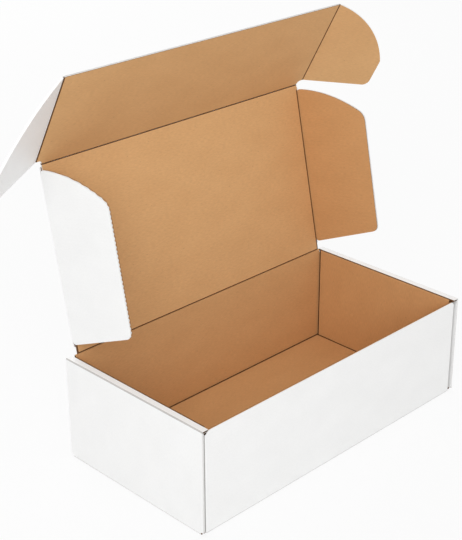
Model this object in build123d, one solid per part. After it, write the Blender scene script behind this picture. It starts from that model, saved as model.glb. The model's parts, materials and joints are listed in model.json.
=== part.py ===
from build123d import *
import os

# Corrugated mailer box: one die-cut sheet of E-flute board, folded into a tray with a hinged lid.
# Millimetres. +X runs along the box's length, -Y is the front, +Z is up.
# The origin is the centre of the tray's underside. The lid stands open.

# Tray
BOX_LENGTH = 300.0
BOX_DEPTH = 153.0
BOX_HEIGHT = 89.0
BOARD = 1.7
BEND_RADIUS = 1.0
PLY_GAP = 0.3
WALL_RECESS = 0.8
PANEL_END_GAP = 1.8
PANEL_FOOT_GAP = 0.5
SCORE_RADIUS = 0.45
STRIP_TAPER = 4.4
CORNER_RELIEF = 0.5
CORNER_FLAP_LENGTH = 60.0
CORNER_FLAP_TAPER = 14.0
CORNER_FLAP_LIFT = 1.0
TOP_CORNER_CUT = 3.0

# Locking tabs on the rolled-over side panels, and their slots in the floor
TAB_LENGTH = 34.0
TAB_SPACING = 76.0
TAB_RECESS = 0.2

# Creases that still fold: the flap's root is a half-round of the board's thickness on the fold line
HINGE_GAP = 0.08
LID_LIFT = 0.8
LID_SIDE_GAP = 0.3
TUCK_FRONT_GAP = 0.3
TUCK_FLOOR_GAP = 2.5

# Dust flaps at the lid's sides
DUST_FLOOR_GAP = 13.5
DUST_START = 7.0
DUST_LEAN = 17.0
DUST_SWING_GAP = 1.2
DUST_REAR_RADIUS = 7.0
DUST_FRONT_RADIUS = 10.0
DUST_ROOT_RADIUS = 3.5

# Ears at the tuck panel's ends
EAR_LENGTH = 66.5
EAR_SHOULDER = 32.0
EAR_SWEEP_RADIUS = 103.0
EAR_CORNER_RADIUS = 6.0
EAR_SLOT_GAP = 0.3
SLOT_END_RADIUS = 3.4

# How the box stands in the photograph, in degrees from flat board, and from shut for the lid
LID_OPEN = 101.5
TUCK_FOLD = 40.5
EAR_FOLD = 24.0
DUST_FOLD = 90.0

# Plies of a rolled side wall, from the outside in
side_outside = BOX_LENGTH / 2
side_inside = side_outside - BOARD
corner_flap_outside = side_inside - BOARD - 2 * PLY_GAP
corner_flap_inside = corner_flap_outside - BOARD
inner_panel_outside = corner_flap_inside - PLY_GAP
inner_panel_inside = inner_panel_outside - BOARD

# Front and back walls, set back from the side panels' raw ends
raw_end = BOX_DEPTH / 2
wall_outside = raw_end - WALL_RECESS
wall_inside = wall_outside - BOARD
panel_end = wall_inside - PANEL_END_GAP
strip_underside = BOX_HEIGHT - BOARD
wall_top = strip_underside - PLY_GAP

# Fold lines, at the middle of the board, with the lid shut
half_board = BOARD / 2
crease_setback = half_board + HINGE_GAP
fold_level = BOX_HEIGHT + LID_LIFT + half_board
hinge_line = wall_outside - half_board
tuck_line = -(raw_end + TUCK_FRONT_GAP + half_board)
dust_line = inner_panel_inside - LID_SIDE_GAP - half_board
ear_line = side_inside - PLY_GAP - half_board

# Flap sizes that follow from where the flaps go when the box is shut
lid_edge = dust_line - crease_setback
tuck_edge = ear_line - crease_setback
tuck_depth = fold_level - TUCK_FLOOR_GAP
ear_start = fold_level - strip_underside + EAR_SLOT_GAP
dust_width = fold_level - BOARD - DUST_FLOOR_GAP
dust_reach = hinge_line + wall_inside - DUST_SWING_GAP


def block(low, high):
    """A plain block between two opposite corners."""
    size = [high[i] - low[i] for i in range(3)]
    middle = [(high[i] + low[i]) / 2 for i in range(3)]
    return Pos(*middle) * Box(*size)


def mirrored_pair(shape):
    """The shape and its mirror image across the middle of the box's length."""
    return shape + mirror(shape, about=Plane.YZ)


def on_edge(sketch, x, y):
    """The sketch's corners at the given place."""
    return sketch.vertices().filter_by(lambda v: abs(v.X - x) < 0.01 and abs(v.Y - y) < 0.01)


def rolled_sides():
    """The floor with both side walls: each goes up, over the top and down again inside."""
    section = Pos(0, BOX_HEIGHT / 2) * RectangleRounded(BOX_LENGTH, BOX_HEIGHT, BEND_RADIUS)
    room = BOX_HEIGHT - BOARD
    section -= Pos(0, BOARD + room / 2) * Rectangle(2 * inner_panel_inside, room)
    inner_corners = on_edge(section, inner_panel_inside, BOX_HEIGHT)
    inner_corners += on_edge(section, -inner_panel_inside, BOX_HEIGHT)
    section = fillet(inner_corners, BEND_RADIUS)

    cavity_width = side_inside - inner_panel_outside
    cavity_height = strip_underside - BOARD
    foot_width = side_inside - inner_panel_inside
    cavity_middle = (side_inside + inner_panel_outside) / 2
    foot_middle = (side_inside + inner_panel_inside) / 2
    for side in (-1, 1):
        section -= Pos(side * cavity_middle, BOARD + cavity_height / 2) * Rectangle(cavity_width, cavity_height)
        section -= Pos(side * foot_middle, BOARD + PANEL_FOOT_GAP / 2) * Rectangle(foot_width, PANEL_FOOT_GAP)
    return extrude(Plane.XZ * section, amount=raw_end, both=True)


def side_end_cuts():
    """What is cut from the rolled side walls at their front and back ends."""
    relief_top = BOARD + CORNER_RELIEF
    cuts = block((-side_outside, wall_inside, 0), (side_outside, raw_end, relief_top))
    panel_cut = block((inner_panel_inside, panel_end, 0), (inner_panel_outside, raw_end, BOX_HEIGHT))
    strip_end = Polygon(
        (side_inside, raw_end),
        (inner_panel_inside, raw_end - STRIP_TAPER),
        (inner_panel_inside, raw_end),
        align=None,
    )
    strip_cut = extrude(Pos(0, 0, strip_underside) * strip_end, amount=BOARD)
    cuts += mirrored_pair(panel_cut) + mirrored_pair(strip_cut)
    return cuts + mirror(cuts, about=Plane.XZ)


def end_wall(height):
    """A wall at the back, with the corner flaps that fold into the side walls."""
    flap_end = wall_inside - CORNER_FLAP_LENGTH
    depth = wall_outside - flap_end
    outline = Pos(0, (wall_outside + flap_end) / 2) * Rectangle(2 * corner_flap_outside, depth)
    corners = on_edge(outline, corner_flap_outside, wall_outside)
    corners += on_edge(outline, -corner_flap_outside, wall_outside)
    outline = fillet(corners, BEND_RADIUS)
    outline -= Pos(0, (wall_inside + flap_end) / 2) * Rectangle(2 * corner_flap_inside, wall_inside - flap_end)
    wall = extrude(outline, amount=height)
    foot = wall.edges().filter_by(Axis.X).filter_by_position(Axis.Z, -0.01, 0.01).sort_by(Axis.Y)[-1]
    wall = fillet(foot, BEND_RADIUS)

    flap_foot = BOARD + CORNER_FLAP_LIFT
    flap_top = wall_top - CORNER_FLAP_LIFT
    wall -= block((-side_outside, flap_end, 0), (side_outside, wall_inside, flap_foot))
    wall -= block((-side_outside, flap_end, flap_top), (side_outside, wall_inside, height))
    flap_tip = Polygon(
        (flap_end, flap_foot),
        (flap_end + CORNER_FLAP_TAPER, flap_foot),
        (flap_end, flap_foot + 2 * CORNER_FLAP_TAPER),
        align=None,
    )
    return wall - extrude(Plane.YZ * flap_tip, amount=side_outside, both=True)


def front_wall():
    wall = mirror(end_wall(wall_top), about=Plane.XZ)
    top_cut = Polygon(
        (corner_flap_outside, wall_top),
        (corner_flap_outside - TOP_CORNER_CUT, wall_top),
        (corner_flap_outside, wall_top - TOP_CORNER_CUT),
        align=None,
    )
    top_cut = extrude(Plane.XZ * top_cut, amount=wall_outside)
    return wall - mirrored_pair(top_cut & block((0, -wall_outside, 0), (side_outside, -wall_inside, BOX_HEIGHT)))


def back_wall():
    """The back wall stands higher than the side walls between them, up to the lid's fold line."""
    hinge_foot = fold_level - crease_setback
    wall = end_wall(hinge_foot)
    shoulder_start = inner_panel_inside - PLY_GAP
    shoulder = block((shoulder_start, wall_inside, wall_top), (side_outside, wall_outside, hinge_foot))
    return wall - mirrored_pair(shoulder)


def floor_tabs(allowance, foot):
    """Locking tabs under the inner side panels, or their slots with an allowance all round."""
    tabs = []
    for middle in (-TAB_SPACING / 2, TAB_SPACING / 2):
        reach = TAB_LENGTH / 2 + allowance
        low = (inner_panel_inside - allowance, middle - reach, foot)
        high = (inner_panel_outside + allowance, middle + reach, BOARD + PANEL_FOOT_GAP)
        tabs.append(mirrored_pair(block(low, high)))
    return tabs[0] + tabs[1]


def score_lines():
    """The pressed grooves in the inside corners, where the front and back walls fold up from the floor."""
    score = Rot(0, 90, 0) * Cylinder(SCORE_RADIUS, 2 * corner_flap_inside)
    return Pos(0, wall_inside, BOARD) * score + Pos(0, -wall_inside, BOARD) * score


def make_tray():
    tray = rolled_sides() - side_end_cuts()
    tray -= floor_tabs(PLY_GAP, 0)
    tray += floor_tabs(0, TAB_RECESS)
    return tray + front_wall() + back_wall() - score_lines()


def flat_board(outline):
    """A flat panel of board in the plane of the shut lid."""
    return extrude(Pos(0, 0, fold_level) * outline, amount=half_board, both=True)


def root(start, end):
    """The half-round root of a flap, along its fold line and on the left of the way from start to end."""
    fold = Line((*start, fold_level), (*end, fold_level))
    section = Plane(origin=fold @ 0, x_dir=Vector(0, 0, 1).cross(fold % 0), z_dir=fold % 0)
    half_round = Circle(half_board) & Pos(half_board, 0) * Rectangle(2 * half_board, 2 * half_board)
    return sweep(section * half_round, path=fold)


def make_lid():
    front_edge = tuck_line + crease_setback
    outline = Pos(0, (hinge_line + front_edge) / 2) * Rectangle(2 * lid_edge, hinge_line - front_edge)
    return flat_board(outline) + root((-lid_edge, hinge_line), (lid_edge, hinge_line))


def make_dust_flap():
    """The right dust flap. Its front edge is an arc about the lid's hinge, so it clears the front wall."""
    far_edge = dust_line + dust_width
    rear = hinge_line - DUST_START
    front = hinge_line - dust_reach
    outline = Polygon(
        (dust_line, rear),
        (far_edge, rear - DUST_LEAN),
        (far_edge, front),
        (dust_line, front),
        align=None,
    )
    outline &= Pos(dust_line, hinge_line) * Circle(dust_reach)
    far_corners = outline.vertices().filter_by_position(Axis.X, far_edge - 0.01, far_edge + 0.01).sort_by(Axis.Y)
    outline = fillet(far_corners[-1], DUST_REAR_RADIUS)
    far_corners = outline.vertices().filter_by_position(Axis.X, far_edge - 0.01, far_edge + 0.01).sort_by(Axis.Y)
    outline = fillet(far_corners[0], DUST_FRONT_RADIUS)

    root_front = front - DUST_ROOT_RADIUS / 2
    root_rear = rear + DUST_ROOT_RADIUS / 2
    middle = (front + rear) / 2
    lid_side = Rectangle(2 * DUST_ROOT_RADIUS, rear - front + 4 * DUST_ROOT_RADIUS)
    outline += Pos(dust_line - DUST_ROOT_RADIUS, middle) * lid_side
    outline = fillet(on_edge(outline, dust_line, front) + on_edge(outline, dust_line, rear), DUST_ROOT_RADIUS)
    flap_side = Rectangle(dust_width, root_rear - root_front)
    outline &= Pos(dust_line + dust_width / 2, middle) * flap_side
    return flat_board(outline) + root((dust_line, root_front), (dust_line, root_rear))


def make_tuck_panel():
    """The tuck panel is wider than the lid, and its root corners are cut away for the ears' slots."""
    free_edge = tuck_line - tuck_depth
    slot_edge = tuck_line - ear_start
    outline = Polygon(
        (-lid_edge, tuck_line),
        (-lid_edge, slot_edge),
        (-tuck_edge, slot_edge),
        (-tuck_edge, free_edge),
        (tuck_edge, free_edge),
        (tuck_edge, slot_edge),
        (lid_edge, slot_edge),
        (lid_edge, tuck_line),
        align=None,
    )
    slot_corners = on_edge(outline, lid_edge, slot_edge) + on_edge(outline, -lid_edge, slot_edge)
    outline = fillet(slot_corners, SLOT_END_RADIUS)
    return flat_board(outline) + root((-lid_edge, tuck_line), (lid_edge, tuck_line))


def make_ear():
    """The right ear: square to its fold line next to the lid, then swept back to the free edge."""
    near_edge = tuck_line - ear_start
    free_edge = tuck_line - tuck_depth
    tip = ear_line + EAR_LENGTH
    shoulder = (tip, tuck_line - EAR_SHOULDER)
    edges = [
        Line((ear_line, free_edge), (ear_line, near_edge)),
        Line((ear_line, near_edge), (tip, near_edge)),
        Line((tip, near_edge), shoulder),
        RadiusArc(shoulder, (ear_line, free_edge), EAR_SWEEP_RADIUS),
    ]
    outline = make_face(edges)
    outline = fillet(on_edge(outline, tip, near_edge), EAR_CORNER_RADIUS)
    return flat_board(outline) + root((ear_line, free_edge), (ear_line, near_edge))


def folded_ear(ear):
    return ear.rotate(Axis((ear_line, 0, fold_level), (0, 1, 0)), EAR_FOLD)


def folded_dust_flap(flap):
    return flap.rotate(Axis((dust_line, 0, fold_level), (0, 1, 0)), DUST_FOLD)


def folded_tuck(shape):
    return shape.rotate(Axis((0, tuck_line, fold_level), (1, 0, 0)), TUCK_FOLD)


def opened_lid(shape):
    return shape.rotate(Axis((0, hinge_line, fold_level), (1, 0, 0)), -LID_OPEN)


right_dust_flap = opened_lid(folded_dust_flap(make_dust_flap()))
right_ear = opened_lid(folded_tuck(folded_ear(make_ear())))
parts = {
    "tray": make_tray(),
    "lid": opened_lid(make_lid()),
    "right_dust_flap": right_dust_flap,
    "left_dust_flap": mirror(right_dust_flap, about=Plane.YZ),
    "tuck_panel": opened_lid(folded_tuck(make_tuck_panel())),
    "right_ear": right_ear,
    "left_ear": mirror(right_ear, about=Plane.YZ),
}

os.makedirs("parts", exist_ok=True)
for name, shape in parts.items():
    export_step(shape, f"parts/{name}.step")
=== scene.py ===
# %% [markdown]
# # A corrugated mailer box, open
# The box is one sheet of thin corrugated board, white outside and brown kraft inside, folded without glue.
# A CAD model already gives the exact outline of every panel. This lesson turns each panel into real board:
# two thin liners with fluted paper between them, which shows wherever the sheet was cut.

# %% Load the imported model
import json
import math

import bpy
from mathutils import Matrix, Vector

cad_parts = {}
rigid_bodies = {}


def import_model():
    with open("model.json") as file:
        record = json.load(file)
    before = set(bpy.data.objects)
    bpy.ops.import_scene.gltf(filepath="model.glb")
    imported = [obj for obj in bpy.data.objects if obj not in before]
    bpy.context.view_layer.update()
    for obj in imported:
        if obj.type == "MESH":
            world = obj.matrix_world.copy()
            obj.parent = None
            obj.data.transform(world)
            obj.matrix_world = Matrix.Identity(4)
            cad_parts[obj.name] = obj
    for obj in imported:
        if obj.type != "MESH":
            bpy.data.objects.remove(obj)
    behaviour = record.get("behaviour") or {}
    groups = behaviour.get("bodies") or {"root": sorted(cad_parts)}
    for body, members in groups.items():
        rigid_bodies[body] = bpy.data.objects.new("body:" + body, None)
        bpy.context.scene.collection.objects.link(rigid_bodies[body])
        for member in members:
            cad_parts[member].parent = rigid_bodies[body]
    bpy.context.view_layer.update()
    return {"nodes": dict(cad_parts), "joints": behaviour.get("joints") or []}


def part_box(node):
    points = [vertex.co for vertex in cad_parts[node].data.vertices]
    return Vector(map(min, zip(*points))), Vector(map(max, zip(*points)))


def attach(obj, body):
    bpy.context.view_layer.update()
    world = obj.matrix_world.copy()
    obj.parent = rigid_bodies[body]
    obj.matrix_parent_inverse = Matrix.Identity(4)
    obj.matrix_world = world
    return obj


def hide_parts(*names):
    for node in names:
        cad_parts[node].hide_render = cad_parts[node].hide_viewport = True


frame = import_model()
joints = {joint["name"]: joint for joint in frame["joints"]}

# %% [markdown]
# ## The camera
# The picture was taken from the front left, a little above the box, with a longish lens.
# A camera could be dragged into place by eye. This one is turned round a point inside the box by named
# values, so that each can be changed alone: how far round, how high, how much roll and how far off.

# %% Place the camera
PHOTO_HEIGHT_PIXELS = 540
FOCAL_LENGTH_PIXELS = 1326.8
SENSOR_SIZE = 36.0
NEAREST_SEEN = 0.05
LOOK_AT = Vector((-0.012813, 0.032317, 0.133697))
CAMERA_ROUND = math.radians(-44.67)
CAMERA_HEIGHT = math.radians(25.055)
CAMERA_ROLL = math.radians(-0.261)
CAMERA_DISTANCE = 1.070566

back = Vector((
    math.sin(CAMERA_ROUND) * math.cos(CAMERA_HEIGHT),
    -math.cos(CAMERA_ROUND) * math.cos(CAMERA_HEIGHT),
    math.sin(CAMERA_HEIGHT),
))
level_right = Vector((math.cos(CAMERA_ROUND), math.sin(CAMERA_ROUND), 0))
level_up = back.cross(level_right)
right = level_right * math.cos(CAMERA_ROLL) + level_up * math.sin(CAMERA_ROLL)
up = back.cross(right)
camera_turn = Matrix((right, up, back)).transposed()

bpy.ops.object.select_all(action="DESELECT")
bpy.ops.object.camera_add(location=LOOK_AT + back * CAMERA_DISTANCE)
camera = bpy.context.object
camera.rotation_euler = camera_turn.to_euler()
camera.data.sensor_width = SENSOR_SIZE
camera.data.lens = SENSOR_SIZE * FOCAL_LENGTH_PIXELS / PHOTO_HEIGHT_PIXELS
camera.data.clip_start = NEAREST_SEEN
bpy.context.scene.camera = camera
bpy.context.scene.view_settings.view_transform = "Standard"
print("lens", round(camera.data.lens, 2), "mm, camera at", [round(v, 3) for v in camera.location])

# %% [markdown]
# ## Floor and light
# A product picture like this is lit from all round, so that the board looks even and the corners are only
# a little darker. A white world does most of that, and two large soft lamps, before and behind the box,
# give the panels their direction. There is none above, because the lid's white top would then burn out
# when the box is shut.
# The floor is a plain white sheet. More light could whiten it, but would bleach the box as well. So rays
# that come straight from the camera, or by way of a gloss or a glass, see the floor whitened and the world
# plain white. The light on the box stays as it is, and the soft shadow under it still shows.

# %% A switch for the rays that see the background


def background_rays(tree):
    """One where a ray comes from the camera, a gloss or a glass, and nought for the light on the box."""
    light_path = tree.nodes.new("ShaderNodeLightPath")
    seen = light_path.outputs["Is Camera Ray"]
    for kind in ("Is Glossy Ray", "Is Transmission Ray"):
        either = tree.nodes.new("ShaderNodeMath")
        either.operation = "MAXIMUM"
        tree.links.new(seen, either.inputs[0])
        tree.links.new(light_path.outputs[kind], either.inputs[1])
        seen = either.outputs["Value"]
    return seen


print("background switch ready")

# %% Make the floor
FLOOR_SIZE = 12.0
FLOOR_DROP = 0.0002
FLOOR_WHITENING = 0.86


def grey(level):
    """An opaque grey."""
    return (level, level, level, 1)


floor_paint = bpy.data.materials.new("studio_floor")
floor_paint.use_nodes = True
floor_nodes = floor_paint.node_tree.nodes
floor_links = floor_paint.node_tree.links
floor_shader = floor_nodes["Principled BSDF"]
floor_shader.inputs["Base Color"].default_value = grey(0.8)
floor_shader.inputs["Roughness"].default_value = 0.9
floor_shader.inputs["Specular IOR Level"].default_value = 0.1

white_glow = floor_nodes.new("ShaderNodeEmission")
seen_share = floor_nodes.new("ShaderNodeMath")
seen_share.operation = "MULTIPLY"
seen_share.inputs[1].default_value = FLOOR_WHITENING
floor_links.new(background_rays(floor_paint.node_tree), seen_share.inputs[0])
floor_mix = floor_nodes.new("ShaderNodeMixShader")
floor_links.new(seen_share.outputs["Value"], floor_mix.inputs["Fac"])
floor_links.new(floor_shader.outputs["BSDF"], floor_mix.inputs[1])
floor_links.new(white_glow.outputs["Emission"], floor_mix.inputs[2])
floor_links.new(floor_mix.outputs["Shader"], floor_nodes["Material Output"].inputs["Surface"])

bpy.ops.object.select_all(action="DESELECT")
bpy.ops.mesh.primitive_plane_add(size=FLOOR_SIZE, location=(0, 0, -FLOOR_DROP))
floor = bpy.context.object
floor.name = "studio_floor"
bpy.ops.object.transform_apply(location=True)
floor.data.materials.append(floor_paint)
print("floor", FLOOR_SIZE, "m square")

# %% Light from all round
ROOM_STRENGTH = 0.71
BACKDROP_STRENGTH = 1.0

world = bpy.data.worlds.new("white_room")
bpy.context.scene.world = world
world.use_nodes = True
room_nodes = world.node_tree.nodes
room_links = world.node_tree.links
room_light = room_nodes["Background"]
room_light.inputs["Color"].default_value = grey(1.0)
room_light.inputs["Strength"].default_value = ROOM_STRENGTH
white_backdrop = room_nodes.new("ShaderNodeBackground")
white_backdrop.inputs["Color"].default_value = grey(1.0)
white_backdrop.inputs["Strength"].default_value = BACKDROP_STRENGTH
room_mix = room_nodes.new("ShaderNodeMixShader")
room_links.new(background_rays(world.node_tree), room_mix.inputs["Fac"])
room_links.new(room_light.outputs["Background"], room_mix.inputs[1])
room_links.new(white_backdrop.outputs["Background"], room_mix.inputs[2])
room_links.new(room_mix.outputs["Shader"], room_nodes["World Output"].inputs["Surface"])
print("room at", ROOM_STRENGTH, "of white")

# %% Two soft lamps
BOX_MIDDLE = Vector((0, 0.03, 0.13))
LAMP_SIZE = 1.4


def soft_lamp(name, place, energy):
    """A round soft lamp that shines at the middle of the box."""
    bpy.ops.object.select_all(action="DESELECT")
    bpy.ops.object.light_add(type="AREA", location=place)
    lamp = bpy.context.object
    lamp.name = name
    lamp.data.shape = "DISK"
    lamp.data.size = LAMP_SIZE
    lamp.data.energy = energy
    aim = BOX_MIDDLE - Vector(place)
    lamp.rotation_euler = aim.to_track_quat("-Z", "Y").to_euler()
    print(name, energy, "W,", round(aim.length, 2), "m away")


soft_lamp("front_lamp", place=(-1.15, -1.05, 1.1), energy=15.6)
soft_lamp("back_lamp", place=(0.75, 1.6, 1.1), energy=8.0)

# %% [markdown]
# ## The papers
# Three papers make the board. The inside liner is unbleached kraft: brown, with darker and lighter fibres
# that lie along the sheet and faint ridges where the flutes carry it. The outside liner is the same kind
# of paper with a white clay coat. Along the folds it is grey: worn coat, darkened further as painted shade.
# The fluted paper between them is pale. Where the board is creased, the kraft is dark: crushed board and
# painted shade. The same dark brown is painted as shade on the cut rims of the kraft, in the tray's corners
# and gaps, and at the ends of its rolled strips.
# Pictures of paper could be laid on the panels. Noise textures need no files and stay sharp from close by.
# Each piece gets a UV map called board_grain, in metres across and along the flutes, so that fibres and
# ridges follow the sheet round its folds.

# %% A start for each paper


def new_paper(name, roughness, shine):
    """A material with its grain coordinates ready."""
    paper = bpy.data.materials.new(name)
    paper.use_nodes = True
    shader = paper.node_tree.nodes["Principled BSDF"]
    shader.inputs["Roughness"].default_value = roughness
    shader.inputs["Specular IOR Level"].default_value = shine
    grain = paper.node_tree.nodes.new("ShaderNodeUVMap")
    grain.uv_map = "board_grain"
    return paper, shader, grain


def noise_on(paper, grain, scale, detail):
    """Noise stretched by a Mapping node: scale is in patches a metre, across and along the flutes."""
    nodes = paper.node_tree.nodes
    links = paper.node_tree.links
    mapping = nodes.new("ShaderNodeMapping")
    mapping.inputs["Scale"].default_value = (scale[0], scale[1], 1)
    links.new(grain.outputs["UV"], mapping.inputs["Vector"])
    noise = nodes.new("ShaderNodeTexNoise")
    noise.inputs["Scale"].default_value = 1
    noise.inputs["Detail"].default_value = detail
    links.new(mapping.outputs["Vector"], noise.inputs["Vector"])
    return noise.outputs["Fac"]


print("paper start ready")

# %% Colours from noise


def ramp_on(paper, factor, low, high):
    """A colour ramp between two stops, each a position and a colour."""
    ramp = paper.node_tree.nodes.new("ShaderNodeValToRGB")
    for element, stop in zip(ramp.color_ramp.elements, (low, high)):
        element.position, element.color = stop
    paper.node_tree.links.new(factor, ramp.inputs["Fac"])
    return ramp.outputs["Color"]


def multiply(paper, first, second):
    """One colour darkened by another."""
    mix = paper.node_tree.nodes.new("ShaderNodeMix")
    mix.data_type = "RGBA"
    mix.blend_type = "MULTIPLY"
    mix.inputs["Factor"].default_value = 1
    paper.node_tree.links.new(first, mix.inputs["A"])
    paper.node_tree.links.new(second, mix.inputs["B"])
    return mix.outputs["Result"]


print("ramps ready")

# %% Ridges of the flutes
FLUTE_PITCH = 0.0033
WAVE_TEXTURE_RATE = 20


def board_relief(paper, shader, grain, fibres, ridge_height, fibre_height):
    """Bump from the flutes' faint ridges and from the fibres, as heights in metres."""
    nodes = paper.node_tree.nodes
    links = paper.node_tree.links
    ridges = nodes.new("ShaderNodeTexWave")
    ridges.wave_type = "BANDS"
    ridges.bands_direction = "X"
    ridges.inputs["Scale"].default_value = math.tau / (WAVE_TEXTURE_RATE * FLUTE_PITCH)
    links.new(grain.outputs["UV"], ridges.inputs["Vector"])
    ridge_bump = nodes.new("ShaderNodeBump")
    ridge_bump.inputs["Distance"].default_value = ridge_height
    links.new(ridges.outputs["Fac"], ridge_bump.inputs["Height"])
    fibre_bump = nodes.new("ShaderNodeBump")
    fibre_bump.inputs["Distance"].default_value = fibre_height
    links.new(fibres, fibre_bump.inputs["Height"])
    links.new(ridge_bump.outputs["Normal"], fibre_bump.inputs["Normal"])
    links.new(fibre_bump.outputs["Normal"], shader.inputs["Normal"])


print("flutes every", FLUTE_PITCH * 1000, "mm")

# %% Kraft inside


def make_kraft(name, dark, light):
    """Brown paper: cloudy colour, long fibres and a few dark flecks."""
    paper, shader, grain = new_paper(name, roughness=0.82, shine=0.22)
    clouds = noise_on(paper, grain, scale=(55, 28), detail=4)
    fibres = noise_on(paper, grain, scale=(1500, 260), detail=5)
    flecks = noise_on(paper, grain, scale=(900, 330), detail=2)
    colour = ramp_on(paper, clouds, (0.3, dark), (0.7, light))
    colour = multiply(paper, colour, ramp_on(paper, fibres, (0.32, grey(0.90)), (0.62, grey(1.0))))
    colour = multiply(paper, colour, ramp_on(paper, flecks, (0.23, grey(0.72)), (0.31, grey(1.0))))
    paper.node_tree.links.new(colour, shader.inputs["Base Color"])
    board_relief(paper, shader, grain, fibres, ridge_height=0.00003, fibre_height=0.00004)
    return paper


kraft_liner = make_kraft("kraft_liner", (0.659, 0.378, 0.169, 1), (0.692, 0.402, 0.183, 1))
# The dark brown kraft is crushed board along the creases, darkened there as painted shade. It is painted
# shade alone on the kraft liners' cut rims, in the tray's corners and gaps, and at the strip ends.
crease_and_shade_kraft = make_kraft("crease_and_shade_kraft", (0.13, 0.060, 0.022, 1), (0.17, 0.080, 0.030, 1))
print("made", kraft_liner.name, "and", crease_and_shade_kraft.name)

# %% White outside, and grey at the folds: worn coat and painted shade


def make_white(name, roughness, dark, light):
    """Paper with a white clay coat: hardly any clouds, and a fine tooth."""
    paper, shader, grain = new_paper(name, roughness, shine=0.35)
    clouds = noise_on(paper, grain, scale=(40, 25), detail=3)
    fibres = noise_on(paper, grain, scale=(1300, 420), detail=4)
    colour = ramp_on(paper, clouds, (0.3, dark), (0.7, light))
    colour = multiply(paper, colour, ramp_on(paper, fibres, (0.3, grey(0.975)), (0.6, grey(1.0))))
    paper.node_tree.links.new(colour, shader.inputs["Base Color"])
    board_relief(paper, shader, grain, fibres, ridge_height=0.00002, fibre_height=0.000015)
    return paper


white_liner = make_white("white_liner", 0.5, (0.885, 0.885, 0.88, 1), (0.91, 0.91, 0.905, 1))
# The grey paper is worn coat along the tray's bends, darkened there as painted shade. It is painted shade
# alone on the corner flap's face deep in the slot.
worn_and_shaded_white = make_white("worn_and_shaded_white", 0.7, (0.46, 0.445, 0.425, 1), (0.58, 0.565, 0.545, 1))
print("made", white_liner.name, "and", worn_and_shaded_white.name)

# %% The fluted paper's colour
flute_paper, flute_shader, flute_grain = new_paper("flute_paper", roughness=0.85, shine=0.2)
flute_fibres = noise_on(flute_paper, flute_grain, scale=(700, 300), detail=4)
flute_dark = (0.3, (0.86, 0.85, 0.84, 1))
flute_light = (0.65, (0.92, 0.915, 0.90, 1))
flute_colour = ramp_on(flute_paper, flute_fibres, flute_dark, flute_light)
flute_paper.node_tree.links.new(flute_colour, flute_shader.inputs["Base Color"])

papers = [kraft_liner, crease_and_shade_kraft, worn_and_shaded_white, white_liner, flute_paper]
KRAFT, CREASE_AND_SHADE, WORN_AND_SHADED, WHITE, FLUTE = range(len(papers))
print("papers", [paper.name for paper in papers])

# %% [markdown]
# ## From a CAD panel to a hollow board
# Board could be a solid slab with its edges painted, but a real cut edge is two liners and the gap between
# them, and that shows from close by. A copy of the CAD panel is closed and solid, and its thin side faces
# are the cut edges of the sheet. When those are deleted and the rest gets a thin wall inwards with Solidify,
# two liners are left with a slit between them. They are still joined at the rounded root of each crease,
# where real board is crushed.
# Before that, bisect draws lines across the faces, so that a crease line can have a paper of its own: dark,
# as crushed board and painted shade.

# %% Select one piece, or some of its faces


def select_only(piece):
    """Selects one piece alone and makes it the active one."""
    bpy.ops.object.select_all(action="DESELECT")
    piece.select_set(True)
    bpy.context.view_layer.objects.active = piece


def edit_only(piece):
    """Opens one piece alone in edit mode, with nothing selected."""
    select_only(piece)
    bpy.ops.object.mode_set(mode="EDIT")
    bpy.ops.mesh.select_mode(type="FACE")
    bpy.ops.mesh.select_all(action="DESELECT")


def pick_faces(piece, test):
    """Selects the faces whose middle and normal pass the test."""
    bpy.ops.object.mode_set(mode="OBJECT")
    picked = [face for face in piece.data.polygons if test(face.center, face.normal)]
    for face in picked:
        face.select = True
    bpy.ops.object.mode_set(mode="EDIT")
    return len(picked)


print("selection helpers ready")

# %% Copy a panel and draw lines across it
BOARD = 0.0017
SAME_POINT = 0.000004
SAME_PLANE = math.radians(0.5)


def panel_copy(node, name):
    """The CAD panel as one closed mesh with whole faces."""
    panel = bpy.data.objects.new(name, frame["nodes"][node].data.copy())
    bpy.context.collection.objects.link(panel)
    panel.data.materials.clear()
    select_only(panel)
    bpy.ops.mesh.customdata_custom_splitnormals_clear()
    edit_only(panel)
    bpy.ops.mesh.select_all(action="SELECT")
    bpy.ops.mesh.remove_doubles(threshold=SAME_POINT)
    bpy.ops.mesh.dissolve_degenerate(threshold=SAME_POINT)
    bpy.ops.mesh.dissolve_limited(angle_limit=SAME_PLANE)
    bpy.ops.object.mode_set(mode="OBJECT")
    for paper in papers:
        panel.data.materials.append(paper)
    return panel


def cut_bands(panel, planes):
    """Draws lines across the faces where they meet the planes, each given by a point and a normal."""
    edit_only(panel)
    for point, normal in planes:
        bpy.ops.mesh.select_all(action="SELECT")
        bpy.ops.mesh.bisect(plane_co=point, plane_no=normal)
    bpy.ops.object.mode_set(mode="OBJECT")


print("board", BOARD * 1000, "mm thick")

# %% Give the liners their thickness
LINER = 0.00032


def apply_modifier(piece, modifier):
    """Makes what a modifier shows the piece's own mesh."""
    select_only(piece)
    bpy.ops.object.modifier_apply(modifier=modifier.name)


def open_and_line(panel, is_cut_edge):
    """Deletes the cut edges and turns the faces that are left into liners. A kraft liner's rim is painted
    dark as shade.
    """
    edit_only(panel)
    opened = pick_faces(panel, is_cut_edge)
    if opened:
        bpy.ops.mesh.delete(type="FACE")
    bpy.ops.object.mode_set(mode="OBJECT")
    wall = panel.modifiers.new("liner", "SOLIDIFY")
    wall.thickness = LINER
    wall.offset = -1
    # The kraft liner's rim takes the dark brown paper: painted shade along each cut edge.
    wall.material_offset_rim = CREASE_AND_SHADE - KRAFT
    apply_modifier(panel, wall)
    return opened


print("liners", LINER * 1000, "mm thick")

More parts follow.
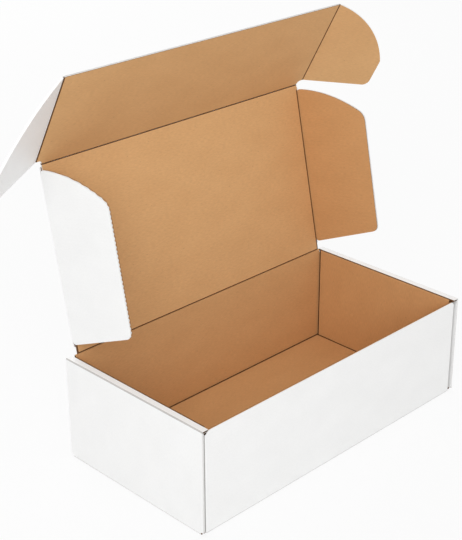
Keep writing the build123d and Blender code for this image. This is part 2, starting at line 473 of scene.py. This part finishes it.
# %% [markdown]
# ## The fluted paper
# The paper between the liners is a sheet pressed into waves. One wave could be modelled and repeated, but a
# grid takes all its waves at once: one for every flute. It gets a thickness, and is turned to lie in the
# middle of its panel. A Boolean with the closed copy trims it to the panel's outline, however that is
# curved, so the waves end just inside the cut edges.

# %% Make a sheet of flutes
FLUTE_PAPER = 0.0003
WAVE_STEPS = 8
wave_height = (BOARD - 2 * LINER - FLUTE_PAPER) / 2


def fluted_sheet(name, middle, across, along, width, length):
    """A waved sheet centred on middle, with its flutes running in the direction along."""
    columns = round(width / FLUTE_PITCH * WAVE_STEPS)
    bpy.ops.object.select_all(action="DESELECT")
    bpy.ops.mesh.primitive_grid_add(x_subdivisions=columns, y_subdivisions=1, size=1)
    sheet = bpy.context.object
    sheet.name = name
    for vertex in sheet.data.vertices:
        place = vertex.co.x * width
        wave = wave_height * math.sin(math.tau * place / FLUTE_PITCH)
        vertex.co = (place, vertex.co.y * length, wave)
    turn = Matrix((across, along, across.cross(along))).transposed().to_4x4()
    sheet.data.transform(Matrix.Translation(middle) @ turn)
    thickness = sheet.modifiers.new("paper", "SOLIDIFY")
    thickness.thickness = FLUTE_PAPER
    thickness.offset = 0
    apply_modifier(sheet, thickness)
    for paper in papers:
        sheet.data.materials.append(paper)
    return sheet


print("wave height", round(wave_height * 1000, 2), "mm each way")

# %% Trim the sheet and put it in its panel


def mould_of(panel):
    """A copy of the closed panel, drawn in a hair, so that the flutes end just inside the cut edges."""
    mould = panel.copy()
    mould.data = panel.data.copy()
    bpy.context.collection.objects.link(mould)
    draw_in = mould.modifiers.new("draw_in", "DISPLACE")
    draw_in.mid_level = 0
    draw_in.strength = -LINER / 2
    apply_modifier(mould, draw_in)
    return mould


def trim_to(sheet, mould):
    """Cuts the waved sheet to the outline of the closed panel, and deletes the loose crumbs of the cut."""
    trim = sheet.modifiers.new("trim", "BOOLEAN")
    trim.operation = "INTERSECT"
    trim.solver = "EXACT"
    trim.object = mould
    apply_modifier(sheet, trim)
    edit_only(sheet)
    bpy.ops.object.mode_set(mode="OBJECT")
    max(sheet.data.polygons, key=lambda face: face.area).select = True
    bpy.ops.object.mode_set(mode="EDIT")
    bpy.ops.mesh.select_linked()
    bpy.ops.mesh.select_all(action="INVERT")
    bpy.ops.mesh.delete(type="VERT")
    bpy.ops.object.mode_set(mode="OBJECT")
    for face in sheet.data.polygons:
        face.material_index = FLUTE


def put_inside(panel, sheets, mould):
    """Trims the sheets, joins them to the panel and clears the mould away."""
    for sheet in sheets:
        trim_to(sheet, mould)
    if sheets:
        select_only(panel)
        for sheet in sheets:
            sheet.select_set(True)
        bpy.ops.object.join()
    bpy.data.objects.remove(mould)


print("trim helpers ready")

# %% [markdown]
# ## Laying the grain, and finishing a piece
# An unwrap could give each piece its map, but not at a known scale. Board is flat, so the board_grain map
# is laid face by face: a point's place across and along the flutes, measured in metres.
# A finished piece is smooth only where the board bends, and rides on the body of the CAD panel that it
# stands for.

# %% Write the grain map


def lay_grain(piece, directions):
    """Writes the board_grain UV map. directions(normal) gives the way across and along the flutes."""
    mesh = piece.data
    grain = mesh.uv_layers.get("board_grain") or mesh.uv_layers.new(name="board_grain")
    grain.active = True
    for face in mesh.polygons:
        across, along = directions(face.normal)
        for loop in face.loop_indices:
            place = mesh.vertices[mesh.loops[loop].vertex_index].co
            grain.data[loop].uv = (place.dot(across), place.dot(along))
    for other in [layer for layer in mesh.uv_layers if layer.name != "board_grain"]:
        mesh.uv_layers.remove(other)


print("grain helper ready")

# %% Tie a piece to its body
SMOOTH_ANGLE = math.radians(35)


def finish_piece(piece, body, node, is_flat):
    """Smooths the rounded parts only, ties the piece to its body, and hides the CAD node it stands for."""
    select_only(piece)
    bpy.ops.object.shade_smooth_by_angle(angle=SMOOTH_ANGLE)
    for face in piece.data.polygons:
        if is_flat(face.normal):
            face.use_smooth = False
    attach(piece, body)
    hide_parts(node)
    print(piece.name, len(piece.data.polygons), "faces")


print("finishing helper ready")

# %% [markdown]
# ## The flat panels: lid, tuck panel, dust flaps and ears
# Every moving panel is flat board with a crease at its root. Its outline could be drawn again, but the CAD
# panel already has it, so one helper dresses a copy of each. The panel's largest face gives the direction
# of the board, and its joint gives the fold line, which lies at mid-thickness. A bisect along that middle
# plane splits the thin faces, so the outer half can be white and the inner half another paper.

# %% Find which way a panel lies
IN_FRONT = Vector((0, -0.3, 0.12))


def panel_directions(panel, joint):
    """A point on the fold, the way the inner side faces, the fold's axis and the way out from the fold."""
    widest = max(panel.data.polygons, key=lambda face: face.area)
    inside = widest.normal.copy()
    if inside.dot(IN_FRONT - widest.center) < 0:
        inside.negate()
    fold = Vector(joints[joint]["pos_m"])
    axis = Vector(joints[joint]["axis"]).normalized()
    away = inside.cross(axis)
    if away.dot(widest.center - fold) < 0:
        away.negate()
    return fold, inside, axis, away


print("the inner side of a panel faces", list(IN_FRONT))

# %% Choose the papers of a flat panel
ALONG_X = Vector((1, 0, 0))
FLAT = 0.9
ROOT_CREASE = 0.0003


def colour_panel(panel, fold, inside, away, side_crease, side_stop, end_crease, lining):
    """Draws the crease lines and gives each face its paper: crease lines are crushed board, darkened as
    painted shade. Creases at the sides stop short of the end.
    """
    side = max(vertex.co.x for vertex in panel.data.vertices)
    end = max((vertex.co - fold).dot(away) for vertex in panel.data.vertices)
    bands = [(fold, inside), (fold + away * ROOT_CREASE, away)]
    if side_crease:
        bands.append((ALONG_X * (side - side_crease), ALONG_X))
        bands.append((ALONG_X * (side_crease - side), ALONG_X))
    for stop in (side_stop, end_crease):
        if stop:
            bands.append((fold + away * (end - stop), away))
    cut_bands(panel, bands)

    for face in panel.data.polygons:
        offset = face.center - fold
        reach = offset.dot(away)
        near_side = side_crease and abs(face.center.x) > side - side_crease and reach < end - side_stop
        near_end = end_crease and reach > end - end_crease
        if offset.dot(inside) < 0:
            face.material_index = WHITE
        # Crease bands at the root, the sides and the end: crushed board with painted shade.
        elif reach < ROOT_CREASE or near_side or near_end:
            face.material_index = CREASE_AND_SHADE
        elif lining == WHITE:
            face.material_index = WHITE
        elif abs(face.normal.dot(inside)) > FLAT:
            face.material_index = KRAFT
        else:
            face.material_index = FLUTE


print("crease at each root", ROOT_CREASE * 1000, "mm wide")

# %% Flutes for a flat panel


def panel_flutes(name, mould, fold, across, along):
    """A fluted sheet that is a little larger than the panel."""
    corners = [vertex.co - fold for vertex in mould.data.vertices]
    across_ends = [corner.dot(across) for corner in corners]
    along_ends = [corner.dot(along) for corner in corners]
    middle = fold + across * ((max(across_ends) + min(across_ends)) / 2)
    middle += along * ((max(along_ends) + min(along_ends)) / 2)
    width = max(across_ends) - min(across_ends) + FLUTE_PITCH
    length = max(along_ends) - min(along_ends) + FLUTE_PITCH
    return fluted_sheet(name, middle, across, along, width, length)


print("panel flutes ready")

# %% Build one flat panel
SQUARE = 0.985
TURNED = 0.3


def flat_panel(
    name, joint, flutes_along_joint, is_open_edge, side_crease=0, side_stop=0, end_crease=0, lining=KRAFT
):
    """Board for one hinged panel. is_open_edge(normal) picks the cut edges that show flutes."""
    panel = panel_copy(name, name + "_board")
    fold, inside, axis, away = panel_directions(panel, joint)
    across, along = (away, axis) if flutes_along_joint else (axis, away)
    mould = mould_of(panel)
    colour_panel(panel, fold, inside, away, side_crease, side_stop, end_crease, lining)

    def cut_edge(place, normal):
        thin = abs(normal.dot(inside)) < TURNED
        return thin and (place - fold).dot(away) > ROOT_CREASE and is_open_edge(normal)

    opened = open_and_line(panel, cut_edge)
    sheets = [panel_flutes(name + "_flutes", mould, fold, across, along)] if opened else []
    put_inside(panel, sheets, mould)
    lay_grain(panel, lambda normal: (across, along))
    finish_piece(panel, name, name, lambda normal: abs(normal.dot(inside)) > SQUARE)


print("panel builder ready")

# %% Lid and tuck panel
# Widths of the dark crease bands: crushed board, darkened as painted shade.
LID_SIDE_CREASE = 0.0013
LID_SIDE_STOP = 0.0045
LID_END_CREASE = 0.0004
TUCK_SIDE_CREASE = 0.0007

flat_panel(
    "lid", "lid_hinge", True, lambda normal: False,
    side_crease=LID_SIDE_CREASE, side_stop=LID_SIDE_STOP, end_crease=LID_END_CREASE,
)
flat_panel(
    "tuck_panel", "tuck_fold", True, lambda normal: abs(normal.x) < FLAT,
    side_crease=TUCK_SIDE_CREASE,
)

# %% Dust flaps and ears
for side in ("left", "right"):
    flat_panel(side + "_dust_flap", side + "_dust_fold", False, lambda normal: True)
for side, sign, lining in (("left", -1, WHITE), ("right", 1, KRAFT)):
    ear_fold = side + "_ear_fold"
    from_lid = sign * Vector(joints[ear_fold]["axis"])
    flat_panel(side + "_ear", ear_fold, False, lambda normal: normal.dot(from_lid) < -FLAT, lining=lining)

# %% [markdown]
# ## The tray
# The tray is the same sheet folded up: floor, front and back walls, and side walls that go up, over and
# down inside. It could be put together from single panels, but the CAD tray already has its round folds
# closed, so a copy of it is dressed whole. The copy is opened only where a cut edge can be seen: the ends
# of the rolled side walls and the top of the end walls. White goes on what was the outside of the sheet,
# and ends along the inner edge of the rolled strip.

# %% Measure the tray
RIM_TOP = 0.089
PLY_GAP = 0.0003
RAW_END_PROUD = 0.0008
HAIR = 0.0001

tray_low, tray_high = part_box("tray")
SIDE_OUTSIDE = tray_high[0]
SIDE_INSIDE = SIDE_OUTSIDE - BOARD
FLAP_OUTSIDE = SIDE_INSIDE - BOARD - 2 * PLY_GAP
PANEL_INSIDE = FLAP_OUTSIDE - 2 * BOARD - PLY_GAP
RAW_END = tray_high[1]
WALL_OUTSIDE = RAW_END - RAW_END_PROUD
WALL_INSIDE = WALL_OUTSIDE - BOARD
WALL_TOP = RIM_TOP - BOARD - PLY_GAP
HINGE_LINE = joints["lid_hinge"]["pos_m"][1]
print("tray box", [round(v, 4) for v in tray_low], [round(v, 4) for v in tray_high])
print("room inside", round(2 * PANEL_INSIDE, 4), "x", round(2 * WALL_INSIDE, 4), "m")

# %% Lines where the tray's papers change
STRIP_BEND = 0.0017
CORNER_STEP = 0.0008
WALL_FOOT = 0.0012
PANEL_FOOT = 0.0011
FOOT_RISE = 0.0004

STRIP_LINE = PANEL_INSIDE + STRIP_BEND
CORNER_LINE = PANEL_INSIDE + CORNER_STEP
WALL_FOOT_LINE = WALL_INSIDE - WALL_FOOT
PANEL_FOOT_LINE = PANEL_INSIDE - PANEL_FOOT
FOOT_LINE_TOP = BOARD + FOOT_RISE
ALONG_Y = Vector((0, 1, 0))
ALONG_Z = Vector((0, 0, 1))


def both_sides(direction, line):
    """Two planes across the box, as far out on one side as on the other."""
    return [(direction * line, direction), (direction * -line, direction)]


tray_bands = [(ALONG_Y * HINGE_LINE, ALONG_Y)]
tray_bands += both_sides(ALONG_Y, WALL_FOOT_LINE)
for line in (PANEL_FOOT_LINE, CORNER_LINE, STRIP_LINE, FLAP_OUTSIDE):
    tray_bands += both_sides(ALONG_X, line)
for level in (FOOT_LINE_TOP, RIM_TOP + HAIR):
    tray_bands.append((ALONG_Z * level, ALONG_Z))
print("tray lines", len(tray_bands))

# %% Choose the papers of the tray
BARELY_UP = 0.2
HALF_TURNED = 0.5
CREST = 0.6
MOSTLY = 0.7


def strip_paper(x, normal):
    """The rolled strip is white, with a dark line along its inner bend: a pressed fold, darkened as painted
    shade.
    """
    if x > STRIP_LINE:
        return WHITE
    return CREASE_AND_SHADE if normal.z > CREST else KRAFT


def tray_paper(place, normal):
    """Which paper shows on a face of the folded tray."""
    x = abs(place.x)
    y = abs(place.y)
    out_x = normal.x if place.x > 0 else -normal.x
    out_y = normal.y if place.y > 0 else -normal.y
    if place.z > RIM_TOP + HAIR:
        outer_half = place.y > HINGE_LINE
        return WHITE if outer_half and normal.y > -HALF_TURNED else KRAFT
    if normal.z < -TURNED and place.z < BOARD - HAIR and y < WALL_OUTSIDE + HAIR and x < SIDE_INSIDE:
        return WHITE
    if out_x > TURNED and x > SIDE_INSIDE + HAIR:
        return WHITE
    if out_x < -FLAT and x > SIDE_INSIDE - HAIR:
        return WHITE
    # The slanted ends of the rolled strip: white on the outer part, and painted shade, a dark notch, on the
    # inner part.
    if place.z > RIM_TOP - BOARD and out_y > MOSTLY and abs(normal.x) > TURNED:
        return WHITE if x > FLAP_OUTSIDE else CREASE_AND_SHADE
    if place.z > RIM_TOP - BOARD + HAIR and x > PANEL_INSIDE - HAIR and normal.z > BARELY_UP:
        return strip_paper(x, normal)
    if out_y > TURNED and y > WALL_INSIDE + HAIR and x < FLAP_OUTSIDE + HAIR:
        return WHITE
    # The corner flap's outer face deep in the slot is grey as painted shade; its bends stay white.
    if out_x > TURNED and FLAP_OUTSIDE - BOARD + HAIR < x < FLAP_OUTSIDE + HAIR:
        return WORN_AND_SHADED if out_x > SQUARE else WHITE
    # Painted shade: dark brown in the tray's corners and gaps, and along the foot of the walls, where the
    # fold is also pressed.
    in_shaded_corner = x > CORNER_LINE or y > WALL_INSIDE + HAIR
    on_foot_line = place.z < FOOT_LINE_TOP and (x > PANEL_FOOT_LINE or y > WALL_FOOT_LINE)
    return CREASE_AND_SHADE if in_shaded_corner or on_foot_line else KRAFT


print("tray papers ready")

# %% Colour the tray
LEAN = 0.1


def is_square(normal):
    """True for the faces that lie along the walls, and not for the bends between them."""
    return max(abs(part) for part in normal) > SQUARE


tray_board = panel_copy("tray", "tray_board")
tray_mould = mould_of(tray_board)
cut_bands(tray_board, tray_bands)
for face in tray_board.data.polygons:
    paper = tray_paper(face.center, face.normal)
    # White on the rounded bends along the top and foot gets the grey paper: worn coat with painted shade.
    level_bend = abs(face.normal.z) > LEAN and not is_square(face.normal)
    face.material_index = WORN_AND_SHADED if paper == WHITE and level_bend else paper
print("tray faces", len(tray_board.data.polygons))

# %% Open the tray's cut edges
LOWEST_TOP_EDGE = 0.083


def tray_cut_edge(place, normal):
    """The side walls' raw ends and the end walls' top edges."""
    y = abs(place.y)
    end_on = abs(normal.y) > FLAT and y > RAW_END - HAIR
    wall_edge = normal.z > HALF_TURNED and y > WALL_INSIDE and LOWEST_TOP_EDGE < place.z < WALL_TOP + HAIR
    return end_on or (wall_edge and abs(place.x) < FLAP_OUTSIDE)


tray_opened = open_and_line(tray_board, tray_cut_edge)
print("opened", tray_opened, "faces of the tray")

# %% Fill the tray's walls with flutes
FLUTE_STOP = 1.125 * BOARD
outer_width = 2 * RAW_END + BOARD
outer_height = RIM_TOP - 2 * FLUTE_STOP
wall_width = 2 * (FLAP_OUTSIDE - BOARD)

tray_sheets = []
for side in (-1, 1):
    outer_middle = Vector((side * (SIDE_OUTSIDE - BOARD / 2), 0, RIM_TOP / 2))
    outer_flutes = fluted_sheet("outer_flutes", outer_middle, ALONG_Y, ALONG_Z, outer_width, outer_height)
    wall_middle = Vector((0, side * (WALL_OUTSIDE - BOARD / 2), WALL_TOP / 2 + BOARD))
    wall_flutes = fluted_sheet("wall_flutes", wall_middle, ALONG_Z, ALONG_X, WALL_TOP, wall_width)
    tray_sheets += [outer_flutes, wall_flutes]
put_inside(tray_board, tray_sheets, tray_mould)
print("sheets of flutes in the tray", len(tray_sheets))

# %% Finish the tray


def tray_grain(normal):
    """Flutes run along the box in the floor and the end walls, and upright in the side walls."""
    if abs(normal.y) > max(abs(normal.x), abs(normal.z)):
        return ALONG_Z, ALONG_X
    if abs(normal.x) > abs(normal.z):
        return ALONG_Y, ALONG_Z
    return ALONG_Y, ALONG_X


lay_grain(tray_board, tray_grain)
finish_piece(tray_board, "tray", "tray", is_square)
